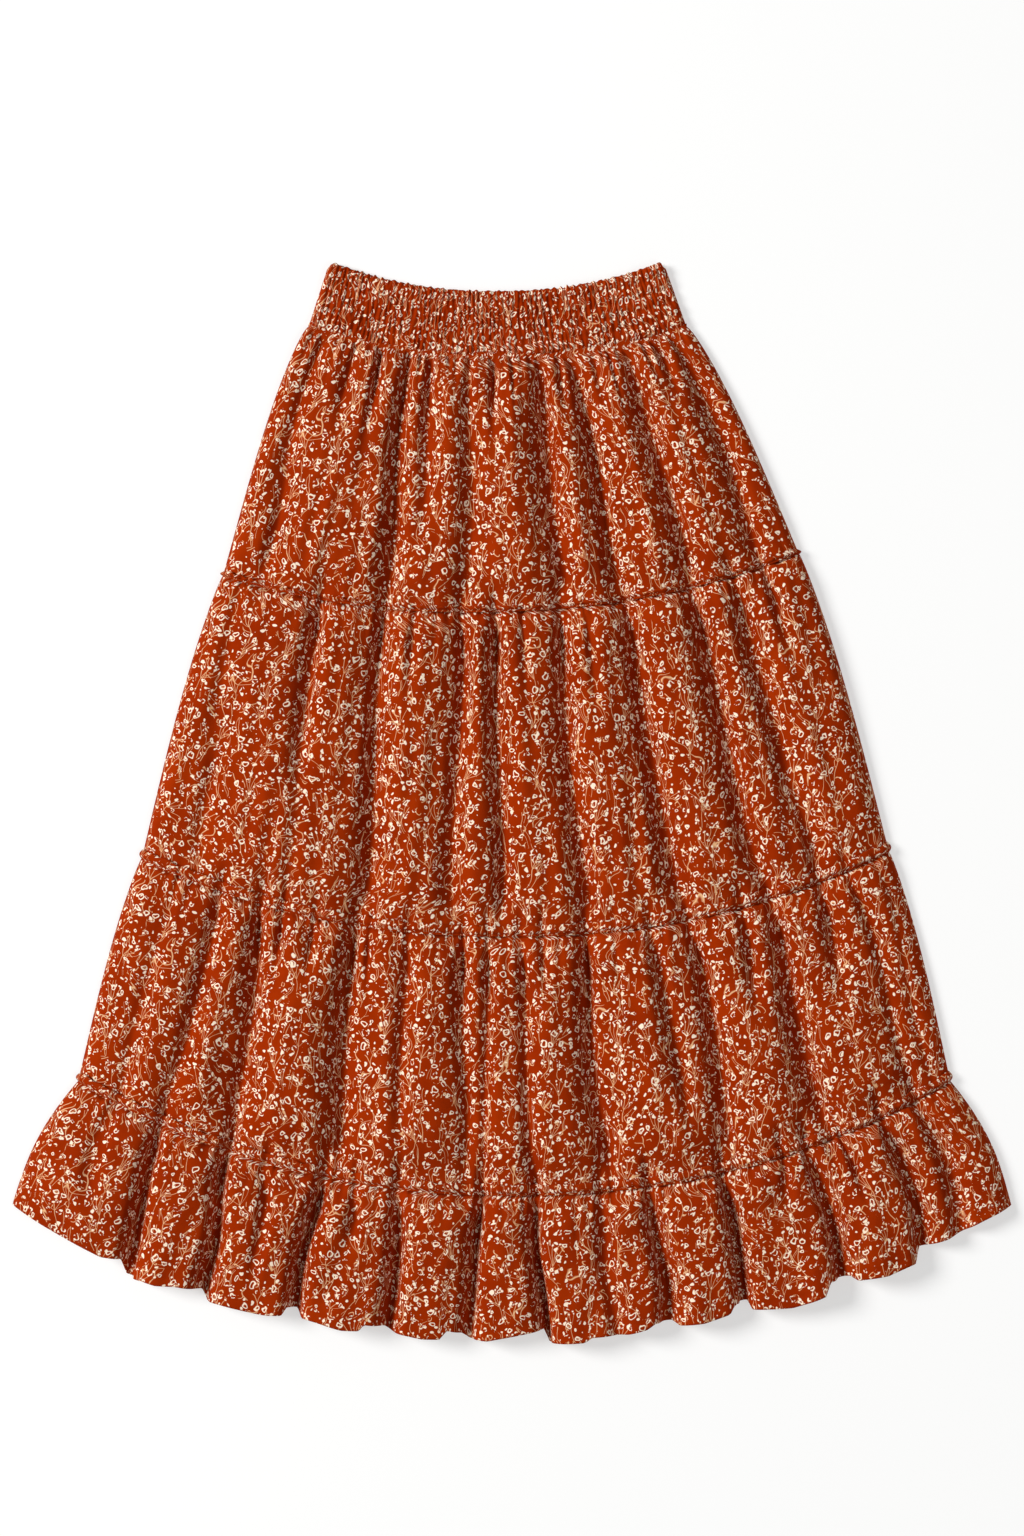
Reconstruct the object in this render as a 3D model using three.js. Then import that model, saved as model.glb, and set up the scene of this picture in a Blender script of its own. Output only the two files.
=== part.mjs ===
// A tiered ruffle skirt laid flat on its back, in millimetres: +Z up, +Y towards the waist, +X to the
// front's right. It is a tube of five strips, each cut as a front and a back half: a shirred elastic
// waistband, three gathered tiers and a gathered hem ruffle. The back halves lie on the surface, and
// the front halves lie on them.
import * as THREE from "three";

// Walls and the clearances between them.
const CLOTH = 2; // a gathered cloth wall
const BAND_CLOTH = 3; // the waistband is two layers of cloth over elastic
const SEAM_GAP = 0.3; // between any two pieces that are sewn or lie together
const BACK_FOLD_RISE = 2; // how far the back's folds lift off the surface
const BACK_HEM_RISE = 9; // how much higher up the skirt the back's hem lies than the front's, in the middle
const FRONT_BASE = BACK_FOLD_RISE + CLOTH + SEAM_GAP; // where a front tier lies on the back's folds
const SIDE_BASE = CLOTH + SEAM_GAP; // where it comes down to the back half, at the side folds
const SIDE_SHOULDER = 0.97; // how far across the skirt it starts to come down

// The seam lines, from the waist down. Each curves down from its two ends, at the side folds, to its
// middle. tilt is how much higher its right end lies than its middle does, and its left end lower.
const SEAM_CURVE = 2.2; // the power of the curve: 2 is a parabola, more is flatter in the middle
const SEAMS = {
  waistEdge: { middleX: -14, halfWidth: 150, endY: 486.5, sag: 27, tilt: 0 },
  bandSeam: { middleX: -13, halfWidth: 170, endY: 428, sag: 26, tilt: 0 },
  firstSeam: { middleX: -1, halfWidth: 259, endY: 214, sag: 42, tilt: 10 },
  secondSeam: { middleX: 3, halfWidth: 336, endY: -47, sag: 73, tilt: 3 },
  thirdSeam: { middleX: 2, halfWidth: 392, endY: -250, sag: 102, tilt: 0 },
  hem: { middleX: 0, halfWidth: 449, endY: -361, sag: 125.5, tilt: 0 },
};

// The tiers. lift is how far the folds rise, puff how far the sides swell past a straight line, swell
// how soon they do (below 1 is nearer the top), and header how far the gathered top edge stands above
// its seam, lying on the tier above.
const TIERS = [
  {
    name: "tier_1",
    upper: SEAMS.bandSeam,
    lower: SEAMS.firstSeam,
    lift: 12,
    puff: 8,
    swell: 0.6,
    header: 0,
  },
  {
    name: "tier_2",
    upper: SEAMS.firstSeam,
    lower: SEAMS.secondSeam,
    lift: 12,
    puff: 6,
    swell: 0.7,
    header: 5,
  },
  {
    name: "tier_3",
    upper: SEAMS.secondSeam,
    lower: SEAMS.thirdSeam,
    lift: 13,
    puff: 5,
    swell: 0.7,
    header: 10,
  },
  {
    name: "hem_ruffle",
    upper: SEAMS.thirdSeam,
    lower: SEAMS.hem,
    lift: 16,
    puff: 9,
    swell: 0.9,
    header: 10,
  },
];

// The folds of each front half, from left to right, as valleys between rounded ridges. top and foot say
// where a valley crosses the tier's upper and lower seam, from -1 at the left side to 1 at the right.
// depth is its share of the lift, reach how far down the tier it runs, and step how far its hem steps
// up behind its neighbours.
const FRONT_FOLDS = {
  tier_1: [
    { top: -0.91, foot: -0.92, depth: 0.5, reach: 0.5 },
    { top: -0.75, foot: -0.74, depth: 0.6, reach: 0.4 },
    { top: -0.49, foot: -0.46, depth: 1.0, reach: 1 },
    { top: -0.34, foot: -0.34, depth: 0.6, reach: 0.5 },
    { top: -0.14, foot: -0.16, depth: 0.7, reach: 1 },
    { top: 0.0, foot: -0.02, depth: 0.5, reach: 0.4 },
    { top: 0.21, foot: 0.13, depth: 0.9, reach: 1 },
    { top: 0.39, foot: 0.33, depth: 1.0, reach: 1 },
    { top: 0.54, foot: 0.48, depth: 0.5, reach: 0.4 },
    { top: 0.7, foot: 0.58, depth: 1.0, reach: 1 },
    { top: 0.93, foot: 0.84, depth: 0.8, reach: 1 },
  ],
  tier_2: [
    { top: -0.69, foot: -0.65, depth: 0.6, reach: 0.6 },
    { top: -0.47, foot: -0.44, depth: 1.0, reach: 1 },
    { top: -0.2, foot: -0.2, depth: 0.7, reach: 1 },
    { top: -0.08, foot: -0.07, depth: 0.8, reach: 1 },
    { top: 0.12, foot: 0.17, depth: 0.9, reach: 1 },
    { top: 0.35, foot: 0.41, depth: 1.0, reach: 1 },
    { top: 0.59, foot: 0.64, depth: 1.0, reach: 1 },
    { top: 0.82, foot: 0.81, depth: 0.8, reach: 1 },
  ],
  tier_3: [
    { top: -0.85, foot: -0.78, depth: 0.6, reach: 0.8 },
    { top: -0.72, foot: -0.68, depth: 0.8, reach: 1 },
    { top: -0.47, foot: -0.44, depth: 1.0, reach: 1 },
    { top: -0.3, foot: -0.3, depth: 0.4, reach: 0.6 },
    { top: -0.16, foot: -0.16, depth: 0.6, reach: 0.6 },
    { top: 0.02, foot: 0.02, depth: 0.5, reach: 0.5 },
    { top: 0.16, foot: 0.21, depth: 1.0, reach: 1 },
    { top: 0.37, foot: 0.39, depth: 0.6, reach: 0.7 },
    { top: 0.47, foot: 0.5, depth: 0.9, reach: 1 },
    { top: 0.69, foot: 0.7, depth: 1.0, reach: 1 },
    { top: 0.82, foot: 0.81, depth: 0.6, reach: 0.7 },
  ],
  hem_ruffle: [
    { top: -0.83, foot: -0.765, depth: 1.0, reach: 1, step: 16 },
    { top: -0.68, foot: -0.615, depth: 0.9, reach: 1, step: 11 },
    { top: -0.47, foot: -0.44, depth: 1.0, reach: 1, step: 9 },
    { top: -0.29, foot: -0.28, depth: 0.8, reach: 1, step: 10 },
    { top: -0.1, foot: -0.12, depth: 0.7, reach: 1, step: 10 },
    { top: 0.05, foot: 0.055, depth: 1.0, reach: 1, step: 12 },
    { top: 0.2, foot: 0.155, depth: 0.4, reach: 1, step: 6 },
    { top: 0.32, foot: 0.295, depth: 0.8, reach: 1, step: 12 },
    { top: 0.48, foot: 0.45, depth: 1.0, reach: 1, step: 14 },
    { top: 0.69, foot: 0.645, depth: 1.0, reach: 1, step: 18 },
    { top: 0.86, foot: 0.805, depth: 0.8, reach: 1, step: 16 },
  ],
};

// The back halves have fewer folds, evenly spread and a little apart from tier to tier, pressed low by
// the weight of the front.
const BACK_FOLDS = {
  tier_1: { count: 7, shift: 0.03 },
  tier_2: { count: 7, shift: -0.05 },
  tier_3: { count: 8, shift: 0.02 },
  hem_ruffle: { count: 9, shift: -0.03 },
};

const FOLD_HALF_WIDTH = 0.03; // of a valley, as a share of the half width of the skirt at that height
const SECTION = [
  { offset: -1, drop: 0.15 },
  { offset: -0.45, drop: 0.6 },
  { offset: 0, drop: 1 },
  { offset: 0.45, drop: 0.6 },
  { offset: 1, drop: 0.15 },
]; // a valley's cross section: how far it drops at each share of its half width

const printedViscose = new THREE.MeshStandardMaterial({ color: 0xa63c10, roughness: 0.85, metalness: 0 });
const skirt = new THREE.Group();

function addPiece(name, geometry) {
  const piece = new THREE.Mesh(geometry, printedViscose);
  piece.name = name;
  skirt.add(piece);
}

// A closed wall between two grids of points, each a list of rows from the waist down, left to right:
// the face that looks up and the face that looks down.
function wall(topFace, underFace) {
  const lastRow = topFace.length - 1;
  const lastColumn = topFace[0].length - 1;
  const columns = lastColumn + 1;
  const top = (row, column) => row * columns + column;
  const under = (row, column) => (lastRow + 1) * columns + top(row, column);
  const faces = [];
  const quad = (a, b, c, d) => faces.push(a, b, c, a, c, d);
  for (let r = 0; r < lastRow; r++) {
    for (let c = 0; c < lastColumn; c++) {
      quad(top(r, c), top(r + 1, c), top(r + 1, c + 1), top(r, c + 1));
      quad(under(r, c), under(r, c + 1), under(r + 1, c + 1), under(r + 1, c));
    }
    quad(top(r + 1, 0), top(r, 0), under(r, 0), under(r + 1, 0));
    quad(top(r, lastColumn), top(r + 1, lastColumn), under(r + 1, lastColumn), under(r, lastColumn));
  }
  for (let c = 0; c < lastColumn; c++) {
    quad(top(0, c), top(0, c + 1), under(0, c + 1), under(0, c));
    quad(top(lastRow, c + 1), top(lastRow, c), under(lastRow, c), under(lastRow, c + 1));
  }
  const geometry = new THREE.BufferGeometry().setFromPoints([...topFace.flat(), ...underFace.flat()]);
  geometry.setIndex(faces);
  geometry.computeVertexNormals();
  return geometry;
}

// Where a seam line lies, across running from -1 at its left end to 1 at its right.
function seamPoint(seam, across) {
  const y = seam.endY - seam.sag * (1 - Math.abs(across) ** SEAM_CURVE) + seam.tilt * across;
  return new THREE.Vector3(seam.middleX + seam.halfWidth * across, y, 0);
}

// Where a strip lies, down running from 0 at its upper seam to 1 at its lower one. Its sides swell by
// puff, where the gathers push the cloth out.
function stripPoint(strip, across, down) {
  const point = seamPoint(strip.upper, across).lerp(seamPoint(strip.lower, across), down);
  point.x += strip.puff * across ** 5 * Math.sin(Math.PI * down ** strip.swell);
  return point;
}

// The share of a strip's length that a distance down its middle is.
function shareOfLength(strip, distance) {
  return distance / stripPoint(strip, 0, 0).distanceTo(stripPoint(strip, 0, 1));
}

// The columns of a folded tier: the edges of the tier, five for each valley, and one on the ridge
// between each two. Each follows its fold from the tier's upper seam to its lower one.
function foldColumns(folds) {
  const side = (across) => ({ top: across, foot: across, drop: 0 });
  const columns = [side(-1), side(-SIDE_SHOULDER)];
  folds.forEach((fold, i) => {
    const next = folds[i + 1];
    for (const { offset, drop } of SECTION) {
      const aside = offset * FOLD_HALF_WIDTH;
      columns.push({ top: fold.top + aside, foot: fold.foot + aside, drop, fold });
    }
    if (next) {
      columns.push({ top: (fold.top + next.top) / 2, foot: (fold.foot + next.foot) / 2, drop: 0 });
    }
  });
  columns.push(side(SIDE_SHOULDER), side(1));
  return columns;
}

// How much of its lift a front tier has: none at a seam, where the stitches hold the cloth flat, most
// of it soon below, and all of it at a free hem.
function liftShare(down, flatFrom) {
  const risen = Math.min(1, Math.sqrt(down / 0.3));
  return down >= flatFrom ? 0 : risen;
}

// The front half of a tier: a wall whose folds run down from its gathered top edge.
function frontTier(tier, headerBelow) {
  const flatFrom = headerBelow === null ? 2 : 1 - shareOfLength(tier, headerBelow);
  const rows = [0, 0.12, 0.5, headerBelow === null ? 0.8 : flatFrom, 1];
  const columns = foldColumns(FRONT_FOLDS[tier.name]);
  const isFree = headerBelow === null;
  // at its top it lies on the tier above
  const base = FRONT_BASE + (tier.header > 0 ? CLOTH + SEAM_GAP : 0);
  const underFace = rows.map((down) =>
    columns.map(({ top, foot, drop, fold }) => {
      const across = top + (foot - top) * down;
      const point = stripPoint(tier, across, down);
      const depth = fold && down <= fold.reach ? fold.depth : 0;
      const settled = THREE.MathUtils.lerp(base, FRONT_BASE, Math.min(1, down / 0.5));
      const isSideFold = Math.abs(across) === 1;
      const spread = 1 - Math.abs(across) ** 12; // the folds die away towards the sides
      const risen = tier.lift * liftShare(down, flatFrom) * spread * (1 - depth * drop);
      point.z = isSideFold ? settled - FRONT_BASE + SIDE_BASE : settled + risen;
      point.y += isFree && fold ? (fold.step ?? 0) * drop * down ** 3 : 0;
      return point;
    }),
  );
  if (tier.header === 0) {
    underFace[0].forEach((point) => (point.y -= SEAM_GAP)); // clear of the waistband's lower edge
  } else {
    underFace.unshift(underFace[0].map((p) => new THREE.Vector3(p.x, p.y + tier.header, p.z)));
  }
  const topFace = underFace.map((row) => row.map((p) => new THREE.Vector3(p.x, p.y, p.z + CLOTH)));
  addPiece(`${tier.name}_front`, wall(topFace, underFace));
}

// The back half of a tier: it rests on the surface between its folds, which lift off it a little.
function backTier(tier, isFree) {
  const { count, shift } = BACK_FOLDS[tier.name];
  const folds = Array.from({ length: count }, (_, i) => {
    const across = ((i + 0.5) / count) * 2 - 1 + shift;
    return { top: across, foot: across };
  });
  const columns = foldColumns(folds).filter((column) => Math.abs(column.drop - 0.6) > 0.01);
  const start = shareOfLength(tier, SEAM_GAP);
  const rows = [start, 0.3, isFree ? 0.7 : 0.85, 1];
  const underFace = rows.map((down, i) =>
    columns.map(({ top, drop }) => {
      const isSewnEdge = i === 0 || (i === rows.length - 1 && !isFree);
      const point = stripPoint(tier, top, down);
      point.z = isSewnEdge || drop < 1 ? 0 : BACK_FOLD_RISE;
      point.y += isFree ? BACK_HEM_RISE * down ** 3 * (1 - Math.abs(top) ** 6) : 0;
      return point;
    }),
  );
  const topFace = underFace.map((row) => row.map((p) => new THREE.Vector3(p.x, p.y, p.z + CLOTH)));
  addPiece(`${tier.name}_back`, wall(topFace, underFace));
}

// The waistband: elastic runs in five channels, each a soft roll between two rows of stitching.
const WAISTBAND = { upper: SEAMS.waistEdge, lower: SEAMS.bandSeam, puff: 0, swell: 1 };
const CHANNELS = 5;
const CHANNEL_ROLL = 1.6; // how far a channel's roll stands above its stitching
const BAND_COLUMNS = 20;

function waistbandHalf(name, base, hasRolls) {
  const rows = hasRolls ? CHANNELS * 2 : 1;
  const grid = (heightAt) =>
    Array.from({ length: rows + 1 }, (_, r) =>
      Array.from({ length: BAND_COLUMNS + 1 }, (_, c) => {
        const point = stripPoint(WAISTBAND, (c / BAND_COLUMNS) * 2 - 1, r / rows);
        point.z = heightAt(r);
        return point;
      }),
    );
  const roll = (r) => (hasRolls && r % 2 === 1 ? CHANNEL_ROLL : 0);
  addPiece(name, wall(grid((r) => base + BAND_CLOTH + roll(r)), grid(() => base)));
}

waistbandHalf("waistband_back", 0, false);
waistbandHalf("waistband_front", BAND_CLOTH + SEAM_GAP, true);
TIERS.forEach((tier, i) => {
  const below = TIERS[i + 1];
  backTier(tier, !below);
  frontTier(tier, below ? below.header : null);
});

export default skirt;
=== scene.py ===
import math

import bpy
import numpy as np
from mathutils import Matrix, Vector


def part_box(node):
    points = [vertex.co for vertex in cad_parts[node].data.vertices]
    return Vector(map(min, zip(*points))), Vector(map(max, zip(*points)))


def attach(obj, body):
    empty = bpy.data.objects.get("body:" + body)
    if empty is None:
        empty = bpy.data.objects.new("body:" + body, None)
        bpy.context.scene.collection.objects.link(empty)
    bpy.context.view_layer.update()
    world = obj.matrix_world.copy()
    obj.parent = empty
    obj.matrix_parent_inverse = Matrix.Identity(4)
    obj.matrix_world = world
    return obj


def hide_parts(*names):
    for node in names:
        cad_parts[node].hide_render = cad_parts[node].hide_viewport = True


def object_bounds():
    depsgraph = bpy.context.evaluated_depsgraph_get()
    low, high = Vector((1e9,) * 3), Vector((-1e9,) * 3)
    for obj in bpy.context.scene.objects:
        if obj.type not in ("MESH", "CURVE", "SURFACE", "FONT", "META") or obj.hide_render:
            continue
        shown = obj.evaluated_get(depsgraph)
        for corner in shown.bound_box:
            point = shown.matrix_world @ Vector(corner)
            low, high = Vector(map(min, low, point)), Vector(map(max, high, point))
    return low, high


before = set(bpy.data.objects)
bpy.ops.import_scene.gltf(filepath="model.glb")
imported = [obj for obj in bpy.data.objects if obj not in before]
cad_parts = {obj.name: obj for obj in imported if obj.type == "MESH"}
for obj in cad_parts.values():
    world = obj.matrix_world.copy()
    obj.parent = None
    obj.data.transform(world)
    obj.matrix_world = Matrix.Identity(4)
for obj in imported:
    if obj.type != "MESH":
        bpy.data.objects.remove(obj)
cad_low, cad_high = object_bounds()


# ---------------------------------------------------------------------------------------------------------
# The printed cloth. A light plain-woven viscose in rust, printed all over with small cream dots, commas,
# rings and florets over thin tan stems and curls. Every piece is cut from it, so the print is drawn on
# the flat cut of each piece, in millimetres, and is squeezed and folded with the cloth.

# Spacings, sizes, lengths and strokes are in millimetres, and the angle is in radians.
RUST = (0.258, 0.0175, 0.0003, 1)
RUST_FADED = (0.330, 0.0265, 0.0005, 1)
CREAM = (0.93, 0.76, 0.58, 1)
TAN = (0.80, 0.46, 0.23, 1)
SCATTER_LOOSENESS = 0.85
DOT_SPACING = 9.0
DOT_RADII = (0.25, 1.62)
RING_SPACING = 10.4
RING_RADII = (1.10, 2.30)
RING_STROKE = 0.50
CURL_SPACING = 15.0
CURL_RADII = (1.6, 3.4)
CURL_STROKE = 0.32
STEM_SPACING = 14.0
STEM_STROKE = 0.15
STALK_STROKE = 0.15
SPRIG_STEM_STROKE = 0.18
SPRIG_STEM_LENGTH = 14
FLORET_RADIUS = 0.95
FAN_HALF_ANGLE = 0.75
THREADS_PER_MM = 12


class Draft:
    """Adds shader nodes to one material, wiring numbers and sockets alike."""

    def __init__(self, material):
        self.tree = material.node_tree

    def node(self, kind, **inputs):
        made = self.tree.nodes.new(kind)
        for name, value in inputs.items():
            self.wire(value, made.inputs[name])
        return made

    def wire(self, value, socket):
        if isinstance(value, bpy.types.NodeSocket):
            self.tree.links.new(value, socket)
        else:
            socket.default_value = value

    def maths(self, operation, *values):
        made = self.tree.nodes.new("ShaderNodeMath")
        made.operation = operation
        for value, socket in zip(values, made.inputs):
            self.wire(value, socket)
        return made.outputs[0]

    def vector(self, operation, *values):
        made = self.tree.nodes.new("ShaderNodeVectorMath")
        made.operation = operation
        for value, socket in zip(values, made.inputs):
            self.wire(value, socket)
        return made.outputs[0]

    def noise(self, place, size_mm, detail=1.0):
        made = self.node("ShaderNodeTexNoise", Vector=place, Scale=1 / size_mm, Detail=detail)
        made.noise_dimensions = "2D"
        return made.outputs["Fac"]

    def scatter(self, place, spacing_mm):
        """Random places: how far the nearest is, in millimetres, and two random numbers of its own."""
        made = self.node("ShaderNodeTexVoronoi", Vector=place, Scale=1 / spacing_mm)
        made.voronoi_dimensions = "2D"
        made.inputs["Randomness"].default_value = SCATTER_LOOSENESS
        own = self.node("ShaderNodeSeparateColor", Color=made.outputs["Color"])
        far = self.maths("MULTIPLY", made.outputs["Distance"], spacing_mm)
        return far, own.outputs[0], own.outputs[1]

    def mixed(self, share, first, second):
        made = self.tree.nodes.new("ShaderNodeMix")
        made.data_type = "RGBA"
        for value, number in ((share, 0), (first, 6), (second, 7)):
            self.wire(value, made.inputs[number])
        return made.outputs[2]

    def ranged(self, value, low, high, to_low, to_high):
        made = self.node("ShaderNodeMapRange", Value=value)
        for name, number in zip(("From Min", "From Max", "To Min", "To Max"), (low, high, to_low, to_high)):
            self.wire(number, made.inputs[name])
        return made.outputs[0]


def stroke(draft, far, radius, half_width):
    """A line drawn round a place at a radius: below 0 inside the line."""
    from_line = draft.maths("ABSOLUTE", draft.maths("SUBTRACT", far, radius))
    return draft.maths("SUBTRACT", from_line, half_width)


def broken_by(draft, amount, patches, steepness):
    """Above 0, which leaves a line out, wherever a patchy noise is under an amount."""
    return draft.maths("MULTIPLY", draft.maths("SUBTRACT", amount, patches), steepness)


def small_dots(draft, place):
    far, size, _ = draft.scatter(place, DOT_SPACING)
    return draft.maths("SUBTRACT", far, draft.ranged(size, 0.1, 1.0, *DOT_RADII))


def commas_and_rings(draft, place):
    """Tiny bent rings. Most are cut open into commas and horseshoes, the rest stay whole."""
    moved = draft.vector("ADD", place, (311, 97, 0))
    far, size, kind = draft.scatter(moved, RING_SPACING)
    line = stroke(draft, far, draft.ranged(size, 0.0, 1.0, *RING_RADII), RING_STROKE)
    opened = draft.maths("MAXIMUM", line, broken_by(draft, 0.50, draft.noise(moved, 2.6), 16))
    is_open = draft.maths("GREATER_THAN", kind, 0.28)
    return draft.maths("MULTIPLY_ADD", draft.maths("SUBTRACT", opened, line), is_open, line)


def curls(draft, place):
    """Short open curls: parts of rings that are bent out of round."""
    moved = draft.vector("ADD", place, (53, 641, 0))
    far, size, _ = draft.scatter(moved, CURL_SPACING)
    line = stroke(draft, far, draft.ranged(size, 0.0, 1.0, *CURL_RADII), CURL_STROKE)
    return draft.maths("MAXIMUM", line, broken_by(draft, 0.54, draft.noise(moved, 4.5), 20))


def trailing_stems(draft, place):
    """Upright pairs of thin stems that part and meet again, and break off here and there."""
    wander = draft.maths("MULTIPLY", draft.noise(place, 42.0, 1.0), 46)
    across = draft.node("ShaderNodeSeparateXYZ", Vector=place).outputs[0]
    phase = draft.maths("DIVIDE", draft.maths("ADD", across, wander), STEM_SPACING)
    from_middle = draft.maths("ABSOLUTE", draft.maths("SUBTRACT", draft.maths("FRACT", phase), 0.5))
    parting = draft.noise(draft.vector("ADD", place, (83, 5, 0)), 15.0)
    gap = draft.ranged(parting, 0.35, 0.65, 0.0, 2.0)
    line = stroke(draft, draft.maths("MULTIPLY", from_middle, 11.0), gap, STEM_STROKE)
    patches = draft.noise(draft.vector("ADD", place, (7, 419, 0)), 14.0)
    return draft.maths("MAXIMUM", line, broken_by(draft, 0.50, patches, 30))


def sprigs(draft, place, wide, tall, shift, reach, stalk_gap):
    """Umbel sprigs on a loose grid: the florets, and the fan of thin stalks and the stem that carry them.
    wide and tall are the grid's spacing, shift its start, reach how long a stalk is, and stalk_gap the
    angle between two stalks, in radians."""
    cell = draft.vector("DIVIDE", draft.vector("ADD", place, shift), (wide, tall, 1))
    chance = draft.node("ShaderNodeTexWhiteNoise", Vector=draft.vector("FLOOR", cell))
    chance.noise_dimensions = "2D"
    own = draft.node("ShaderNodeSeparateColor", Color=chance.outputs["Color"])
    inside = draft.node("ShaderNodeSeparateXYZ", Vector=draft.vector("FRACTION", cell))
    root_x = draft.ranged(own.outputs[0], 0, 1, 0.36, 0.64)
    root_y = draft.ranged(own.outputs[1], 0, 1, 0.34, 0.52)
    x = draft.maths("MULTIPLY", draft.maths("SUBTRACT", inside.outputs[0], root_x), wide)
    y = draft.maths("MULTIPLY", draft.maths("SUBTRACT", inside.outputs[1], root_y), tall)
    turn = draft.ranged(own.outputs[2], 0, 1, -0.5, 0.5)
    angle = draft.maths("ADD", draft.maths("ARCTAN2", x, y), turn)
    off_fan = draft.maths("SUBTRACT", draft.maths("ABSOLUTE", angle), FAN_HALF_ANGLE)
    off_fan = draft.maths("MULTIPLY", off_fan, 12)
    far = draft.maths("SQRT", draft.maths("MULTIPLY_ADD", x, x, draft.maths("MULTIPLY", y, y)))

    turns = draft.maths("DIVIDE", angle, stalk_gap)
    from_stalk = draft.maths("SUBTRACT", draft.maths("FRACT", turns), 0.5)
    aside = draft.maths("MULTIPLY", far, draft.maths("MULTIPLY", from_stalk, stalk_gap))
    stalk = draft.maths("SUBTRACT", draft.maths("ABSOLUTE", aside), STALK_STROKE)
    each = draft.maths("MULTIPLY", draft.maths("FLOOR", turns), 2.4)
    uneven = draft.maths("MULTIPLY", draft.maths("SINE", each), 2.2)
    past_tip = draft.maths("SUBTRACT", far, draft.maths("ADD", uneven, reach))
    stalk = draft.maths("MAXIMUM", draft.maths("MAXIMUM", stalk, past_tip), off_fan)

    from_tip = draft.maths("MULTIPLY_ADD", past_tip, past_tip, draft.maths("MULTIPLY", aside, aside))
    floret = draft.maths("SUBTRACT", draft.maths("SQRT", from_tip), FLORET_RADIUS)
    leaning = draft.maths("ABSOLUTE", draft.maths("MULTIPLY_ADD", y, turn, x))
    stem = draft.maths("SUBTRACT", leaning, SPRIG_STEM_STROKE)
    off_stem = draft.maths("MAXIMUM", y, draft.maths("SUBTRACT", -SPRIG_STEM_LENGTH, y))
    stem = draft.maths("MAXIMUM", stem, off_stem)
    return draft.maths("MAXIMUM", floret, off_fan), draft.maths("MINIMUM", stalk, stem)


def pushed(draft, place, size_mm, reach_mm):
    """The same place, pushed aside by a smooth noise, which bends what is drawn there."""
    noise = draft.node("ShaderNodeTexNoise", Vector=place, Scale=1 / size_mm, Detail=0.0)
    noise.noise_dimensions = "2D"
    aside = draft.vector("SUBTRACT", noise.outputs["Color"], (0.5, 0.5, 0.5))
    return draft.vector("ADD", place, draft.vector("MULTIPLY", aside, (reach_mm, reach_mm, 0)))


def lowest_of(draft, first, *others):
    for other in others:
        first = draft.maths("MINIMUM", first, other)
    return first


def printed_viscose():
    cloth = bpy.data.materials.new("printed_viscose")
    cloth.use_nodes = True
    draft = Draft(cloth)
    shader = cloth.node_tree.nodes["Principled BSDF"]
    cut = draft.node("ShaderNodeUVMap")
    cut.uv_map = "cut"
    in_mm = draft.vector("MULTIPLY", cut.outputs[0], (1000, 1000, 0))
    wobbly = pushed(draft, in_mm, 5.5, 3.6)
    swaying = pushed(draft, in_mm, 19.0, 9.0)
    florets, stalks = sprigs(draft, swaying, 36.0, 42.0, (0, 0, 0), 15.0, 0.37)
    small_florets, small_stalks = sprigs(draft, swaying, 43.0, 38.0, (19, 27, 0), 10.5, 0.50)
    dots = small_dots(draft, wobbly)
    spots = lowest_of(draft, dots, commas_and_rings(draft, wobbly), florets, small_florets)
    lines = lowest_of(draft, curls(draft, wobbly), trailing_stems(draft, swaying), stalks, small_stalks)
    is_spot = draft.ranged(spots, -0.12, 0.16, 1, 0)
    is_line = draft.ranged(lines, -0.12, 0.16, 1, 0)
    is_print = draft.maths("MAXIMUM", is_spot, is_line)

    threads = draft.vector("MULTIPLY", in_mm, (THREADS_PER_MM, THREADS_PER_MM, 0))
    threads = draft.node("ShaderNodeSeparateXYZ", Vector=threads)
    warp = draft.maths("SINE", threads.outputs[0])
    weft = draft.maths("SINE", threads.outputs[1])
    weave = draft.maths("MULTIPLY", warp, weft)
    patchy = draft.ranged(draft.noise(in_mm, 38.0, 3.0), 0.3, 0.7, 0.15, 0.85)
    dyed = draft.mixed(draft.maths("MULTIPLY_ADD", weave, 0.10, patchy), RUST, RUST_FADED)
    lined = draft.mixed(is_line, dyed, TAN)
    draft.wire(draft.mixed(is_spot, lined, CREAM), shader.inputs["Base Color"])
    draft.wire(draft.ranged(is_print, 0, 1, 0.88, 0.78), shader.inputs["Roughness"])
    relief = draft.maths("MULTIPLY_ADD", weave, 0.3, draft.noise(in_mm, 3.0, 2.0))
    bump = draft.node("ShaderNodeBump", Height=relief)
    bump.inputs["Strength"].default_value = 0.35
    bump.inputs["Distance"].default_value = 0.0004
    draft.wire(bump.outputs[0], shader.inputs["Normal"])
    shader.inputs["Specular IOR Level"].default_value = 0.02
    shader.inputs["Sheen Weight"].default_value = 0.03
    shader.inputs["Sheen Roughness"].default_value = 0.45
    shader.inputs["Sheen Tint"].default_value = (1.0, 0.35, 0.12, 1)
    return cloth


viscose = printed_viscose()


# ---------------------------------------------------------------------------------------------------------
# The waistband. A front and a back half, doubled over elastic that runs round in rows of stitching and
# draws the cloth up to about two thirds of its cut width, in fine upright puckers between the rows.

BAND_CUT = (0.50, 0.060)
BAND_CLOTH = 0.0012
BAND_GRID = (38, 400)
BAND_ROWS = 5
BAND_PUCKERS = 74
BAND_SIDE = 0.035
ROLL_HEIGHT = 0.0021
PUCKER_HEIGHT = 0.0013
BACK_ROLLS = 0.53


def seam_between(above, below, tilt=0.0):
    """The seam where two back halves meet: its ends, its middle and how much higher its right end is."""
    low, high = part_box(above)
    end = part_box(below)[1][1] - tilt
    return dict(left=low[0], right=high[0], end=end, middle=low[1], tilt=tilt)


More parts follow.
